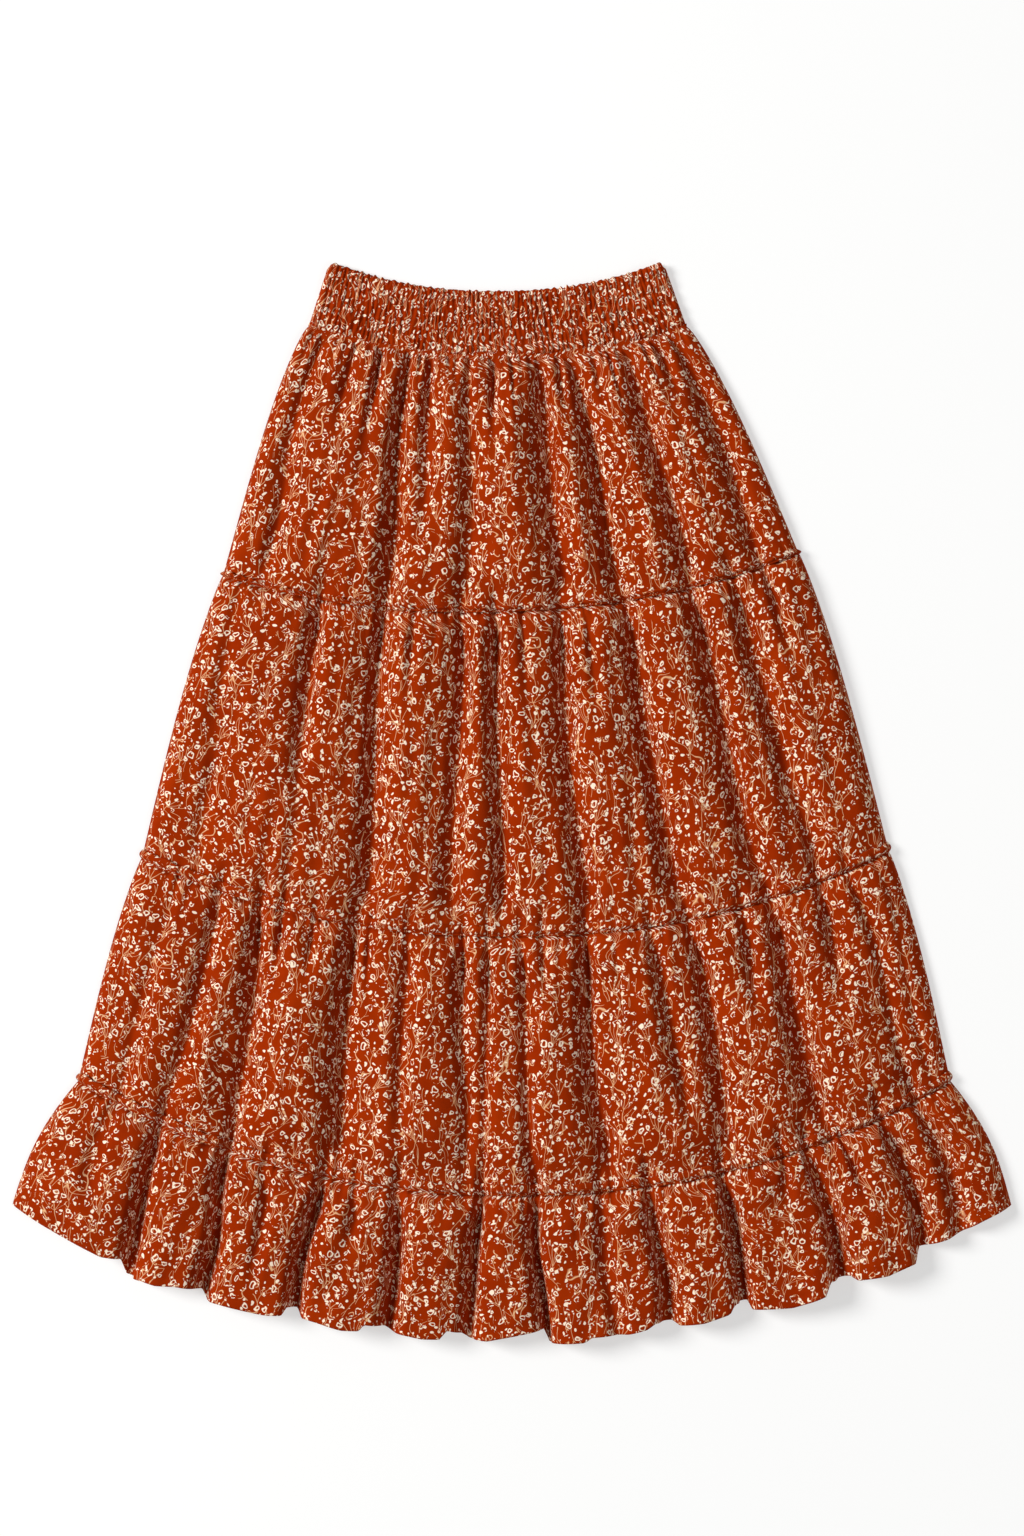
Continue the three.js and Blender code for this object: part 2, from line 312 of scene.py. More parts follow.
def seam_points(seam, across):
    """Where a seam lies, across running from -1 at its left end to 1 at its right."""
    x = seam["left"] + (seam["right"] - seam["left"]) * (across + 1) / 2
    sag = (seam["end"] - seam["middle"]) * (1 - np.abs(across) ** 2.2)
    return x, seam["end"] - sag + seam["tilt"] * across


def strip_points(strip, across, down):
    """Where a strip lies, down running from 0 at its upper seam to 1 at its lower one. Its sides swell by
    puff, and soonest where swell is least."""
    x0, y0 = seam_points(strip["upper"], across)
    x1, y1 = seam_points(strip["lower"], across)
    belly = np.sin(math.pi * np.clip(down, 0, 1) ** strip["swell"])
    x = x0 + (x1 - x0) * down + strip["puff"] * across**5 * belly
    return x, y0 + (y1 - y0) * down


def smooth(low, high, value):
    share = np.clip((value - low) / (high - low), 0, 1)
    return share * share * (3 - 2 * share)


def side_turn(across, share):
    """How far into the fold at its side each point of a half lies, 0 to 1. share is how much of the
    half's width from the middle that fold takes up."""
    return np.clip((np.abs(across) - 1 + share) / share, 0, 1)


def ripples(seed, across, down, waves, rows=1.5, count=9):
    """A gentle uneven wave over a strip, between about -1 and 1."""
    chance = np.random.default_rng(seed)
    total = 0
    for _ in range(count):
        turns = chance.uniform(0.3, 1) * waves
        slant = chance.uniform(-rows, rows)
        start = chance.uniform(0, 2 * math.pi)
        total = total + np.sin(2 * math.pi * (turns * across / 2 + slant * down) + start)
    return total / math.sqrt(count)


def cloth_piece(name, x, y, z, cut, thickness, cut_along, outward=1, slack=None):
    """A piece of cloth on a grid of points of its outer face, rows from the waist down, left to right.
    outward is 1 where that face looks up and -1 where it looks down. Its flat cut is kept as the UV map,
    with the cloth that a row doesn't need drawn in where its slack is. No point sinks below the surface
    it lies on."""
    rows, columns = x.shape
    points = np.stack([x, y, z], axis=-1)
    steps = np.linalg.norm(np.diff(points, axis=1), axis=2)
    spare = np.maximum(cut[0] - steps.sum(axis=1, keepdims=True), 0)
    if slack is None:
        slack = np.ones_like(x)
    drawn = steps * (slack[:, 1:] + slack[:, :-1])
    steps = steps + spare * drawn / drawn.sum(axis=1, keepdims=True)
    run = np.concatenate([np.zeros((rows, 1)), np.cumsum(steps, axis=1)], axis=1)
    spread = run / run[:, -1:] * cut[0]
    column = np.arange(columns - 1)
    starts = (np.arange(rows - 1) * columns)[:, None] + column[None, :]
    quads = np.stack([starts, starts + columns, starts + columns + 1, starts + 1], axis=-1).reshape(-1, 4)
    if outward < 0:
        quads = quads[:, ::-1]
    mesh = bpy.data.meshes.new(name)
    mesh.from_pydata(points.reshape(-1, 3).tolist(), [], quads.tolist())
    flat = np.stack([spread, np.broadcast_to(-cut_along * cut[1], x.shape)], axis=-1).reshape(-1, 2)
    mesh.uv_layers.new(name="cut")
    mesh.uv_layers["cut"].data.foreach_set("uv", flat[quads.reshape(-1)].reshape(-1).astype(np.float32))
    mesh.polygons.foreach_set("use_smooth", np.ones(len(quads), dtype=bool))
    mesh.materials.append(viscose)
    piece = bpy.data.objects.new(name, mesh)
    bpy.context.collection.objects.link(piece)
    wall = piece.modifiers.new("wall", "SOLIDIFY")
    wall.thickness = thickness
    wall.offset = -1
    bpy.ops.object.select_all(action="DESELECT")
    piece.select_set(True)
    bpy.context.view_layer.objects.active = piece
    bpy.ops.object.modifier_apply(modifier="wall")
    walled = np.empty(len(mesh.vertices) * 3, dtype=np.float32)
    mesh.vertices.foreach_get("co", walled)
    walled[2::3] = np.maximum(walled[2::3], cad_low[2])
    mesh.vertices.foreach_set("co", walled)
    return piece


BAND_EDGE = dict(left=-0.164, right=0.136, end=cad_high[1], middle=cad_high[1] - 0.027, tilt=0.0)
BAND_SEAM = seam_between("waistband_back", "tier_1_back")
waistband = dict(upper=BAND_EDGE, lower=BAND_SEAM, puff=0.0, swell=1.0)
side_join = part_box("waistband_back")[1][2] + 0.0002


def shirred_half(name, node, lowest, outward, rolls, seed):
    """One half of the band. lowest is where its outer face is at its lowest, outward is 1 where that face
    looks up and -1 down, and rolls is how much of the full depth of its rolls it has."""
    down = np.linspace(0, 1, BAND_GRID[0])[:, None]
    across = np.linspace(-1, 1, BAND_GRID[1])[None, :]
    chance = np.random.default_rng(seed)
    row_at = down * BAND_ROWS
    roll = np.sin(math.pi * (row_at - np.floor(row_at))) ** 0.8
    pucker = 0
    for row in range(BAND_ROWS + 1):
        near = np.clip(1 - np.abs(row_at - row), 0, 1)
        gaps = chance.uniform(0.55, 1.45, BAND_PUCKERS)
        centres = np.cumsum(gaps) / gaps.sum() * 2 - 1
        turn = np.interp(across, centres, 2 * math.pi * np.arange(BAND_PUCKERS))
        size = np.interp(across, centres, chance.uniform(0.5, 1.2, BAND_PUCKERS))
        pucker = pucker + near * np.cos(turn) * size
    out = ROLL_HEIGHT * roll + PUCKER_HEIGHT * pucker * (0.45 + 0.55 * roll)
    out = out + 0.0008 * ripples(seed + 1, across, down, 9)
    out = rolls * outward * out
    height = lowest + out - out.min()
    rim = side_turn(across, BAND_SIDE)
    height = side_join + (height - side_join) * np.sqrt(1 - rim**2)
    x, y = strip_points(waistband, across, down)
    top = 1 - smooth(0.0, 0.12, down)
    y = y + top * (0.0007 * ripples(seed + 2, across, down, 60) - 0.005 * rim**2)
    piece = cloth_piece(name, x, y, height, BAND_CUT, BAND_CLOTH, down, outward)
    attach(piece, "root")
    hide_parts(node)
    return piece


band_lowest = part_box("waistband_front")[0][2] + 2 * BAND_CLOTH
band_front = shirred_half("shirred_waistband_front", "waistband_front", band_lowest, 1, 1.0, 11)
band_back = shirred_half("shirred_waistband_back", "waistband_back", cad_low[2], -1, BACK_ROLLS, 17)


# ---------------------------------------------------------------------------------------------------------
# The first tier, front. A straight strip of the printed cloth, gathered into the waistband by its top
# edge. The gathers open into soft folds that fan out down the skirt: some are deep all the way to the
# seam, and others soon die away.

TIER_CLOTH = 0.0008
TALLEST_FOLD = 0.0245
FRONT_SIDE = 0.038
GATHERED_ZONE = 0.022
FOOT_ZONE = 0.016
ROW_SPACING = 0.0058
SEAM_BLEND = 0.030
MAIN_GATHERS_RUN = (0.009, 0.050)
FINE_PUCKERS = dict(spacing=0.0055, tall=0.0020, run=(0.004, 0.010))
FOOT_PUCKERS = dict(spacing=0.010, tall=0.0014, run=(0.007, 0.024))
STITCH_DEPTH = 0.0034
STITCH_WIDTH = 0.0019
HEADER_RISE = 0.0012
HEM_STITCHING = dict(up=0.008, wide=0.0012, deep=0.0005)
FIRST_CUT = (0.56, 0.236)
FIRST_SEAM = seam_between("tier_1_back", "tier_2_back", tilt=0.010)
front_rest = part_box("waistband_back")[1][2] + 0.0013


def fold(top, foot, deep, low, wide, lean=0.0, reach=1.2, tuck=0.0):
    """One fold, as the valley between two ridges. top and foot are where it crosses the upper and the
    lower seam, from -1 at the left side to 1 at the right. deep and low are its depth there, as shares of
    the lift, wide its half width in metres, lean which ridge hangs over it (1 is the right one), reach
    how far down it runs, and tuck how far that ridge folds over it."""
    return dict(top=top, foot=foot, deep=deep, low=low, wide=wide, lean=lean, reach=reach, tuck=tuck)


FIRST_FOLDS = [
    fold(-0.90, -0.86, 0.90, 0.45, 0.007, lean=0.2),
    fold(-0.73, -0.71, 0.70, 0.40, 0.006, lean=-0.3, reach=0.32),
    fold(-0.60, -0.62, 0.65, 0.40, 0.005, lean=0.3, reach=0.32),
    fold(-0.47, -0.44, 0.86, 0.78, 0.0076, lean=-0.4),
    fold(-0.41, -0.41, 0.60, 0.20, 0.004, reach=0.12),
    fold(-0.34, -0.32, 0.70, 0.25, 0.006, lean=0.2, reach=0.75),
    fold(-0.25, -0.25, 0.50, 0.20, 0.004, reach=0.10),
    fold(-0.14, -0.14, 0.52, 0.46, 0.008, lean=0.3),
    fold(-0.03, -0.04, 0.72, 0.40, 0.006, lean=-0.2, reach=0.30),
    fold(0.08, 0.07, 0.50, 0.20, 0.004, reach=0.12),
    fold(0.21, 0.19, 0.92, 0.90, 0.009, lean=0.3),
    fold(0.30, 0.30, 0.80, 0.40, 0.006, reach=0.22),
    fold(0.39, 0.38, 0.98, 1.00, 0.0084, lean=-0.3),
    fold(0.50, 0.51, 0.72, 0.30, 0.006, lean=0.2, reach=0.22),
    fold(0.58, 0.56, 0.50, 0.20, 0.004, reach=0.10),
    fold(0.68, 0.63, 1.00, 0.98, 0.0084, lean=0.4),
    fold(0.76, 0.75, 0.55, 0.20, 0.004, reach=0.12),
    fold(0.82, 0.82, 0.88, 0.50, 0.006, lean=-0.2, reach=0.24),
    fold(0.92, 0.88, 0.95, 0.92, 0.0076, lean=0.3),
    fold(0.97, 0.96, 0.40, 0.20, 0.004, reach=0.25),
]


def spaced_columns(middles, count):
    """How far across each column of points lies, close together near the middles of folds and wider apart
    between them."""
    fine = np.linspace(-1, 1, 4001)
    crowd = np.ones_like(fine)
    for middle in middles:
        crowd += 2.2 * np.exp(-(((fine - middle) / 0.028) ** 2))
    run = np.concatenate([[0], np.cumsum((crowd[1:] + crowd[:-1]) / 2)])
    return np.interp(np.linspace(0, run[-1], count), run, fine)


def strip_length(strip):
    """How far a strip's two seams are apart, down its middle."""
    _, y_top = strip_points(strip, np.zeros(1), np.zeros(1))
    _, y_foot = strip_points(strip, np.zeros(1), np.ones(1))
    return (y_top - y_foot)[0]


def strip_sides(strip, down):
    """How far to the left and to the right a strip reaches."""
    x_left, _ = strip_points(strip, np.full_like(down, -1.0), down)
    x_right, _ = strip_points(strip, np.full_like(down, 1.0), down)
    return x_left, x_right


def tier_rows(strip):
    """How far below its upper seam each row of points lies, closest at the stitches and the foot."""
    length = strip_length(strip)
    foot_start = length - FOOT_ZONE
    rows = int((foot_start - GATHERED_ZONE) / ROW_SPACING)
    head = np.linspace(-strip["header"], 0, 6, endpoint=False)
    gathered = np.linspace(0, GATHERED_ZONE, 14, endpoint=False)
    middle = np.linspace(GATHERED_ZONE, foot_start, rows, endpoint=False)
    foot = np.linspace(foot_start, length, 10)
    return np.concatenate([head, gathered, middle, foot])[:, None]


def tier_points(strip, above, across, distance):
    """Where a tier's points lie. Its header lies on the tier above and stands out at the sides."""
    x, y = strip_points(strip, across, np.clip(distance / strip_length(strip), 0, 1))
    over = np.minimum(distance, 0)
    frill = strip["frill"] * ripples(strip["seed"] + 5, across, 0, 70)
    frill = frill * smooth(-0.001, -strip["header"], distance)
    if not above:
        return x, y - over + frill
    x_up, y_up = strip_points(above, across, 1 + over / strip_length(above))
    nub = 0.003 * across**19 * np.sin(math.pi * np.clip(-over / strip["header"], 0, 1))
    return np.where(distance < 0, x_up + nub, x), np.where(distance < 0, y_up + frill, y)


def gathers(seed, x, sides, distance, spacing, tall, run):
    """Fine puckers where a seam draws the cloth in: narrow valleys that die away from it, no two alike.
    run is how far the shortest and the longest of them go."""
    x_left, x_right = sides
    chance = np.random.default_rng(seed)
    count = int((x_right - x_left).max() / spacing)
    gaps = chance.uniform(0.5, 1.5, count)
    places = np.cumsum(gaps) / gaps.sum() * 2 - 1
    total = 0
    for place in places:
        middle = (x_left + x_right) / 2 + (x_right - x_left) / 2 * place
        wide = spacing * chance.uniform(0.22, 0.36)
        far = run[0] + (run[1] - run[0]) * chance.uniform() ** 3
        deep = tall * chance.uniform(0.35, 1.0)
        fade = np.exp(-((np.abs(distance) / far) ** 1.5))
        total = total + deep * np.exp(-(((x - middle) / wide) ** 2)) * fade
    return total


def fold_relief(strip, across, down):
    """How a tier's folds shape it at a place: what share of the full lift is left there, and how far the
    cloth slips sideways over a valley. across and down are arrays of one shape."""
    x_left, x_right = strip_sides(strip, down)
    half = (x_right - x_left) / 2
    open_out = 0.60 + 0.40 * smooth(0, 0.3, down)
    left = np.ones(np.broadcast(across, down).shape)
    slip = np.zeros_like(left)
    chance = np.random.default_rng(strip["seed"])
    for crease in strip["folds"]:
        stray = 0.0022 * np.sin(2 * math.pi * (chance.uniform(0.5, 1.2) * down + chance.uniform()))
        place = crease["top"] + (crease["foot"] - crease["top"]) * down
        from_valley = half * (across - place) - stray
        steeper = 0.4 * crease["lean"]
        wide = crease["wide"] * open_out * np.where(from_valley > 0, 1 - steeper, 1 + steeper)
        t = from_valley / wide
        strength = crease["deep"] + (crease["low"] - crease["deep"]) * down
        strength = strength * (1 - smooth(crease["reach"] - 0.2, crease["reach"] + 0.1, down))
        core = np.exp(-np.abs(t) ** strip["square"])
        broad = np.exp(-((t / 2.4) ** 2))
        left = left * (1 - strength * (strip["crisp"] * core + (1 - strip["crisp"]) * broad))
        hang = np.sign(crease["lean"])
        tuck = crease["tuck"] * strength * smooth(0.05, 0.35, down)
        over = np.exp(-(((t * hang - 1.0) / 0.5) ** 2)) * (t * hang > -0.5)
        slip = slip - hang * tuck * wide * over
    return left, slip


def seam_relief(above, below, across):
    """The share of the full lift along a seam, half from the folds above it and half from those below."""
    upper, _ = fold_relief(above, across, np.ones_like(across))
    lower, _ = fold_relief(below, across, np.zeros_like(across))
    return 0.72 * (upper + lower) / 2


def folded_front(name, node, strip, above=None, below=None):
    """The front half of a tier. Its header is how far its gathered top edge stands above its seam, on the
    tier above, and its folds run on through the seams into its neighbours."""
    length = strip_length(strip)
    header = strip["header"]
    foot = length - below["header"] if below else length
    distance = tier_rows(strip)
    down = np.clip(distance / length, 0, 1)
    middles = [(crease["top"] + crease["foot"]) / 2 for crease in strip["folds"]]
    across = spaced_columns(middles, strip["columns"])
    follow = np.empty((len(distance), len(across)))
    for row, share in enumerate(down[:, 0]):
        places = [crease["top"] + (crease["foot"] - crease["top"]) * share for crease in strip["folds"]]
        follow[row] = np.interp(across, [-1, *middles, 1], [-1, *places, 1])
    left, slip = fold_relief(strip, follow, down * np.ones_like(follow))
    spread = 1 - 0.7 * np.abs(follow) ** 9
    seed = strip["seed"]
    uneven = 1 + 0.10 * ripples(seed + 1, follow, down, 9, rows=0.7)
    height = strip["lift"] * spread * left * uneven
    height = height + 0.0008 * ripples(seed + 2, follow, down, 34, rows=1.6, count=14)
    if above:
        at_seam = above["lift"] * spread * seam_relief(above, strip, follow)
        height = at_seam + (height - at_seam) * smooth(0.0, SEAM_BLEND, distance)
    else:
        rising = 0.06 + 0.42 * smooth(-0.003, 0.010, distance) + 0.52 * smooth(0, 0.050, distance)
        height = height * rising
    if below:
        at_seam = strip["lift"] * spread * seam_relief(strip, below, follow)
        height = height + (at_seam - height) * smooth(foot - SEAM_BLEND, foot, distance)

    sides = strip_sides(strip, down)
    half = (sides[1] - sides[0]) / 2
    x_flat = (sides[0] + sides[1]) / 2 + half * follow
    pulled = gathers(seed + 3, x_flat, sides, distance, strip["pleats"], strip["pull"], MAIN_GATHERS_RUN)
    pulled = np.minimum(pulled, 1.2 * strip["pull"])
    if above:
        pulled = np.where(distance < 0, 0.35 * pulled, pulled)
    height = height - pulled
    if below:
        drawn = gathers(seed + 4, x_flat, sides, length - distance, **FOOT_PUCKERS)
        height = height - drawn * (distance < foot)
    fine = gathers(seed + 7, x_flat, sides, distance, **FINE_PUCKERS)
    height = height - np.minimum(fine, 0.0024)
    if above:
        depth = STITCH_DEPTH + 0.0014 * ripples(seed + 8, follow, down, 40, rows=0.3, count=12)
        height = height - depth * np.exp(-((distance / STITCH_WIDTH) ** 2))
        height = height + HEADER_RISE * smooth(-0.001, -0.004, distance)
    raised = strip["over"] * (1 - smooth(0.0, 0.05, distance))
    rest = front_rest + TIER_CLOTH
    height = rest + raised + np.clip(height, 0, TALLEST_FOLD)

    rim = side_turn(follow, FRONT_SIDE)
    join = side_join + 0.6 * raised
    height = join + (height - join) * np.sqrt(1 - rim**2)
    x, y = tier_points(strip, above, follow, distance)
    if not below:
        step_places, step_rises = zip(*HEM_STEPS)
        rise = np.interp(follow + slip / half, step_places, step_rises)
        y = y + rise * smooth(0.3, 1.0, down)
        y = y + 0.0005 * ripples(seed + 6, follow, down, 14, rows=0.2) * smooth(0.6, 1.0, down)
        from_stitching = (length - distance - HEM_STITCHING["up"]) / HEM_STITCHING["wide"]
        height = height - HEM_STITCHING["deep"] * np.exp(-(from_stitching**2))
    cut_along = (distance + header) / (length + header) * np.ones_like(follow)
    slack = 1 + ((1 - left) ** 2 - 0.98) * smooth(-0.004, 0.016, distance)
    piece = cloth_piece(name, x + slip, y, height, strip["cut"], TIER_CLOTH, cut_along, slack=slack)
    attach(piece, "root")
    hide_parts(node)
    return piece


# frill is how uneven a strip's gathered edge is, over how much higher it lies where it is sewn to the
# strip above, and lift how high it stands between its folds, all in metres. puff and swell curve its
# sides, square and crisp shape its valleys, and pleats and pull space and deepen its gathers.
first_tier = dict(
    upper=BAND_SEAM, lower=FIRST_SEAM, cut=FIRST_CUT, folds=FIRST_FOLDS, header=0.003, frill=0.0012,
    over=0.0034, lift=0.0210, puff=0.008, swell=0.6, square=1.8, crisp=0.6, pleats=0.0095, pull=0.0056,
    columns=420, seed=101,
)


# ---------------------------------------------------------------------------------------------------------
# The second tier, front. The tallest strip of the printed cloth, gathered and sewn on to the first tier.
# Its gathered edge stands a little way up on that tier, above the stitches that hold it.

SECOND_CUT = (0.74, 0.292)
SECOND_SEAM = seam_between("tier_2_back", "tier_3_back", tilt=0.003)
SECOND_FOLDS = [
    fold(-0.92, -0.85, 0.30, 0.35, 0.009),
    fold(-0.65, -0.63, 0.92, 0.30, 0.009, lean=0.3, reach=0.62),
    fold(-0.44, -0.41, 1.00, 1.00, 0.0092, lean=-0.3),
    fold(-0.33, -0.32, 0.30, 0.20, 0.006, reach=0.3),
    fold(-0.17, -0.17, 0.92, 0.60, 0.008, lean=0.3),
    fold(-0.05, -0.04, 0.95, 0.72, 0.008, lean=-0.3),
    fold(0.04, 0.05, 0.35, 0.20, 0.006, reach=0.3),
    fold(0.16, 0.20, 1.00, 0.88, 0.0084, lean=0.3),
    fold(0.25, 0.29, 0.30, 0.20, 0.006, reach=0.3),
    fold(0.40, 0.45, 1.00, 0.98, 0.0084, lean=0.3),
    fold(0.62, 0.67, 1.00, 0.85, 0.0084, lean=0.4),
    fold(0.77, 0.82, 0.90, 0.75, 0.009, lean=-0.2),
    fold(0.88, 0.90, 0.70, 0.20, 0.006, lean=0.2, reach=0.25),
]
second_tier = dict(
    upper=FIRST_SEAM, lower=SECOND_SEAM, cut=SECOND_CUT, folds=SECOND_FOLDS, header=0.005, frill=0.0008,
    over=0.0024, lift=0.0210, puff=0.006, swell=0.7, square=1.8, crisp=0.6, pleats=0.011, pull=0.0026,
    columns=420, seed=201,
)
folded_front("first_tier_front", "tier_1_front", first_tier, below=second_tier)


# ---------------------------------------------------------------------------------------------------------
# The third tier, front. A wide strip of the printed cloth, lightly gathered and sewn on to the second
# tier, with a frilled edge a centimetre high above its stitches.

THIRD_CUT = (0.90, 0.242)
THIRD_SEAM = seam_between("tier_3_back", "hem_ruffle_back")
THIRD_FOLDS = [
    fold(-0.90, -0.90, 0.20, 0.40, 0.006),
    fold(-0.78, -0.80, 0.82, 0.55, 0.008, lean=0.2),
    fold(-0.67, -0.64, 0.95, 0.92, 0.0076, lean=0.3),
    fold(-0.62, -0.61, 0.65, 0.30, 0.005, reach=0.28),
    fold(-0.53, -0.52, 0.50, 0.20, 0.005, reach=0.22),
    fold(-0.43, -0.41, 1.00, 0.96, 0.0092, lean=-0.3),
    fold(-0.38, -0.37, 0.60, 0.20, 0.005, reach=0.28),
    fold(-0.29, -0.26, 0.55, 0.35, 0.007, lean=0.2, reach=0.8),
    fold(-0.14, -0.11, 0.74, 0.52, 0.007),
    fold(-0.08, -0.06, 0.50, 0.50, 0.005),
    fold(0.01, 0.05, 0.60, 0.50, 0.006, lean=0.2),
    fold(0.08, 0.09, 0.55, 0.20, 0.005, reach=0.22),
    fold(0.18, 0.22, 1.00, 1.00, 0.0074, lean=0.5, tuck=0.3),
    fold(0.27, 0.30, 0.25, 0.20, 0.005, reach=0.3),
    fold(0.37, 0.42, 0.62, 0.40, 0.007, lean=-0.2, reach=0.8),
    fold(0.47, 0.51, 1.00, 1.00, 0.0080, lean=0.3, tuck=0.2),
    fold(0.60, 0.62, 0.65, 0.40, 0.007, reach=0.4),
    fold(0.68, 0.72, 1.00, 1.00, 0.0078, lean=0.5, tuck=0.3),
    fold(0.80, 0.83, 0.80, 0.30, 0.007, lean=-0.2, reach=0.45),
    fold(0.89, 0.92, 0.50, 0.50, 0.006),
    fold(0.96, 0.96, 0.35, 0.50, 0.005),
]
third_tier = dict(
    upper=SECOND_SEAM, lower=THIRD_SEAM, cut=THIRD_CUT, folds=THIRD_FOLDS, header=0.010, frill=0.0008,
    over=0.0024, lift=0.0215, puff=0.005, swell=0.7, square=1.8, crisp=0.6, pleats=0.011, pull=0.0030,
    columns=480, seed=301,
)
folded_front("second_tier_front", "tier_2_front", second_tier, above=first_tier, below=third_tier)


# ---------------------------------------------------------------------------------------------------------
# The hem ruffle, front. The widest strip of the printed cloth, fully gathered, with a frilled edge above
# its stitches and a narrow turned hem. Its folds are deep and square, and the cloth tucks back under its
# neighbours, so the hem steps up in each one.

RUFFLE_CUT = (1.22, 0.142)
RUFFLE_HEM = dict(left=cad_low[0], right=cad_high[0], end=-0.361, middle=cad_low[1], tilt=0.0)
RUFFLE_FOLDS = [
    fold(-0.91, -0.86, 0.40, 0.30, 0.008, reach=0.7),
    fold(-0.80, -0.765, 1.00, 1.00, 0.0076, lean=0.6, tuck=0.5),
    fold(-0.65, -0.61, 1.00, 0.98, 0.0076, lean=0.5, tuck=0.255),
    fold(-0.56, -0.52, 0.40, 0.30, 0.006, reach=0.8),
    fold(-0.44, -0.435, 1.00, 1.00, 0.0082, lean=0.4, tuck=0.25),
    fold(-0.36, -0.35, 0.40, 0.20, 0.006, reach=0.4),
    fold(-0.26, -0.245, 0.95, 0.90, 0.0084, lean=0.3, tuck=0.2),
    fold(-0.07, -0.09, 0.95, 0.85, 0.0076, lean=0.3, tuck=0.25),
    fold(0.05, 0.07, 1.00, 1.00, 0.0076, lean=0.5, tuck=0.5),
    fold(0.20, 0.21, 0.60, 0.40, 0.008),
    fold(0.31, 0.31, 1.00, 0.90, 0.0092, lean=-0.3, tuck=0.2),
    fold(0.47, 0.465, 1.00, 1.00, 0.0086, lean=-0.3, tuck=0.5),
    fold(0.61, 0.60, 0.55, 0.20, 0.006, reach=0.3),
    fold(0.67, 0.66, 1.00, 1.00, 0.0082, lean=-0.5, tuck=0.255),
    fold(0.75, 0.75, 0.55, 0.20, 0.006, reach=0.4),
    fold(0.84, 0.82, 0.95, 0.90, 0.0076, lean=-0.5, tuck=0.255),
    fold(0.92, 0.90, 0.85, 0.80, 0.008),
]

# How far across each point of the hem lies, and how far it rises there, in metres, where the cloth falls
# back into a fold. Each ridge ends in a crisp corner.
HEM_STEPS = [
    (-1.0, 0), (-0.82, -0.001), (-0.78, 0.005), (-0.77, -0.007), (-0.71, -0.004), (-0.67, 0.002),
    (-0.62, 0.006), (-0.61, -0.002), (-0.50, 0.002), (-0.46, 0.005), (-0.45, 0.012), (-0.43, 0.013),
    (-0.42, 0.006), (-0.34, 0.004), (-0.305, 0.006), (-0.295, 0.012), (-0.255, 0.011), (-0.24, 0.007),
    (-0.18, 0.004), (-0.145, 0.005), (-0.13, 0.013), (-0.10, 0.011), (-0.085, 0.006), (-0.05, 0.005),
    (0, 0.009), (0.065, 0.014), (0.075, 0.002), (0.145, 0.002), (0.16, 0.006), (0.23, 0.006),
    (0.27, 0.009), (0.285, 0.013), (0.32, 0.012), (0.335, 0.007), (0.385, 0.006), (0.435, 0.009),
    (0.445, 0.017), (0.47, 0.016), (0.48, 0.007), (0.52, 0.003), (0.56, 0), (0.625, 0.001),
    (0.635, 0.012), (0.675, 0.01), (0.69, 0.004), (0.75, -0.003), (0.805, -0.004), (0.815, 0.008),
    (0.87, 0.003), (1.0, 0),
]
hem_ruffle = dict(
    upper=THIRD_SEAM, lower=RUFFLE_HEM, cut=RUFFLE_CUT, folds=RUFFLE_FOLDS, header=0.010, frill=0.0008,
    over=0.0024, lift=0.0225, puff=0.009, swell=0.9, square=2.4, crisp=0.82, pleats=0.010, pull=0.0030,
    columns=640, seed=401,
)
folded_front("third_tier_front", "tier_3_front", third_tier, above=second_tier, below=hem_ruffle)
folded_front("hem_ruffle_cloth_front", "hem_ruffle_front", hem_ruffle, above=third_tier)


# ---------------------------------------------------------------------------------------------------------
# The back halves of the tiers and the ruffle, cut, gathered and sewn as the fronts are. The skirt lies
# on them, so their spare cloth is pressed into flat pleats that open out further down, and the rest of
# each lies on the surface.

BACK_HEM_RISE = 0.018
BACK_TALLEST = 0.0034
BACK_SIDE = 0.03
BACK_SIDE_HEIGHT = 0.0012
BACK_PUCKERS = dict(spacing=0.010, tall=0.0014, run=(0.007, 0.025))
PLEAT_HALF_WIDTH = 0.006
PLEAT_LAYER = 0.0011


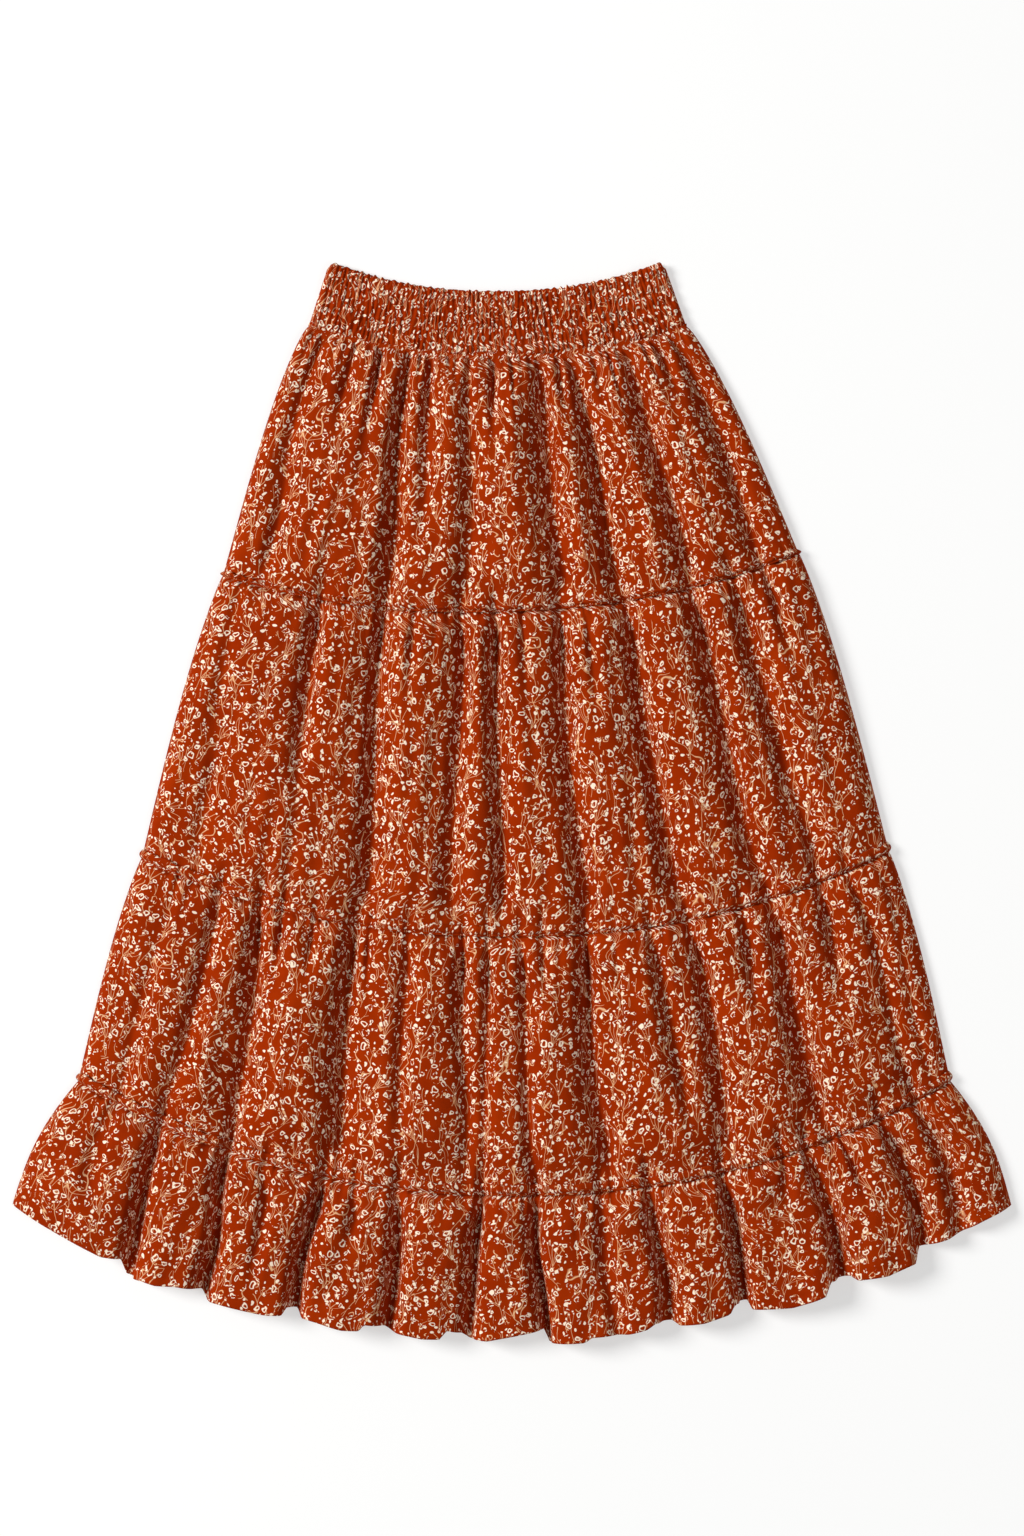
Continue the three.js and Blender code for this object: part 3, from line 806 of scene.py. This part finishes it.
def pressed_back(name, node, strip, pleats, above=None, below=None):
    """The back half of a tier, with its outer face down. Each pleat folds over to the left and lies three
    layers thick."""
    length = strip_length(strip)
    distance = tier_rows(strip)
    down = np.clip(distance / length, 0, 1)
    chance = np.random.default_rng(strip["seed"] + 50)
    places = (np.arange(pleats) + 0.5) / pleats * 2 - 1 + chance.uniform(-0.35, 0.35, pleats) / pleats
    middles = [0.96 * place + chance.uniform(-0.02, 0.02) / 2 for place in places]
    across = spaced_columns(middles, strip["columns"] * 2 // 3) * np.ones_like(down)
    x, y = tier_points(strip, above, across, distance)
    sides = strip_sides(strip, down)
    half = (sides[1] - sides[0]) / 2
    lifted = np.zeros_like(x)
    slip = np.zeros_like(x)
    for middle in middles:
        t = half * (across - middle) / PLEAT_HALF_WIDTH
        reach = chance.uniform(0.7, 1.8)
        pressed = smooth(-0.004, 0.012, distance) * (1 - smooth(reach - 0.6, reach, down))
        overlap = chance.uniform(0.0055, 0.0085)
        slip = slip - pressed * overlap * np.sin(math.pi * t) * np.exp(-np.abs(t) ** 6)
        stacked = 1.75 * smooth(-0.55, -0.30, t) + 0.25 * smooth(0.3, 0.5, t)
        lifted = np.maximum(lifted, pressed * PLEAT_LAYER * stacked * (1 - smooth(1.3, 4.0, t)))
    height = lifted + 0.0006 + 0.0006 * ripples(strip["seed"] + 51, across, down, 16)
    pulled = gathers(strip["seed"] + 52, x, sides, distance, **BACK_PUCKERS)
    height = height + np.minimum(pulled, 0.0016)
    if below:
        foot = length - below["header"]
        height = height + HEADER_RISE * smooth(foot - 0.008, foot - 0.002, distance)
    edge = side_turn(across, BACK_SIDE)
    height = np.clip(height + (BACK_SIDE_HEIGHT - height) * edge**2, 0, BACK_TALLEST)
    if not below:
        y = y + BACK_HEM_RISE * down**3 * (1 - np.abs(across) ** 6)
        y = y + 0.0012 * ripples(strip["seed"] + 53, across, down, 12, rows=0.2) * smooth(0.6, 1, down)
    cut_along = (distance + strip["header"]) / (length + strip["header"]) * np.ones_like(x)
    piece = cloth_piece(name, x + slip, y, height, strip["cut"], TIER_CLOTH, cut_along, -1)
    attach(piece, "root")
    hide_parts(node)


pressed_back("first_tier_back", "tier_1_back", first_tier, 9, below=second_tier)
pressed_back("second_tier_back", "tier_2_back", second_tier, 10, above=first_tier, below=third_tier)
pressed_back("third_tier_back", "tier_3_back", third_tier, 12, above=second_tier, below=hem_ruffle)
pressed_back("hem_ruffle_cloth_back", "hem_ruffle_back", hem_ruffle, 15, above=third_tier)


# ---------------------------------------------------------------------------------------------------------
# The surface that the skirt lies on: a smooth white light board, which glows so that shadows on it stay
# faint, in soft light from a large lamp up and to the left and a weaker one to the right, seen from
# straight above.

BOARD_GREY = (0.46, 0.46, 0.455, 1)
BOARD_GLOW = (1, 1, 0.995, 1)
BOARD_GLOW_STRENGTH = 0.52
BOARD_SIZE = 30
BOARD_GAP = 0.0004
bpy.ops.mesh.primitive_plane_add(size=BOARD_SIZE, location=(0, 0, cad_low[2] - BOARD_GAP))
floor = bpy.context.object
floor.name = "floor"
board = bpy.data.materials.new("white_board")
board.use_nodes = True
board_shader = board.node_tree.nodes["Principled BSDF"]
board_shader.inputs["Base Color"].default_value = BOARD_GREY
board_shader.inputs["Emission Color"].default_value = BOARD_GLOW
board_shader.inputs["Emission Strength"].default_value = BOARD_GLOW_STRENGTH
board_shader.inputs["Roughness"].default_value = 0.9
board_shader.inputs["Specular IOR Level"].default_value = 0.1
floor.data.materials.append(board)


def soft_lamp(name, place, size, watts):
    """A round lamp that is aimed at the middle of the skirt."""
    lamp = bpy.data.lights.new(name, "AREA")
    lamp.shape = "DISK"
    lamp.size = size
    lamp.energy = watts
    stand = bpy.data.objects.new(name, lamp)
    stand.location = place
    aim = -np.array(place, dtype=float)
    yaw = math.atan2(aim[1], aim[0])
    stand.rotation_euler = (math.acos(-aim[2] / np.linalg.norm(aim)), 0, yaw - math.pi / 2)
    bpy.context.collection.objects.link(stand)


soft_lamp("main_lamp", (-5.7, 1.7, 4.7), 3.0, 680)
soft_lamp("fill_lamp", (3.0, -1.5, 4.5), 2.5, 50)
sky = bpy.data.worlds.new("studio")
bpy.context.scene.world = sky
sky.use_nodes = True
sky.node_tree.nodes["Background"].inputs["Color"].default_value = (1, 1, 1, 1)
sky.node_tree.nodes["Background"].inputs["Strength"].default_value = 0.21
bpy.context.scene.view_settings.view_transform = "Standard"

CAMERA_HEIGHT = 3.5
VIEW_LENGTH = 1.3824
VIEW_MIDDLE = (0, 0.0311)
camera = bpy.data.cameras.new("camera")
camera.sensor_width = 36
camera.lens = camera.sensor_width * CAMERA_HEIGHT / VIEW_LENGTH
camera_stand = bpy.data.objects.new("camera", camera)
camera_stand.location = (*VIEW_MIDDLE, CAMERA_HEIGHT)
bpy.context.collection.objects.link(camera_stand)
bpy.context.scene.camera = camera_stand
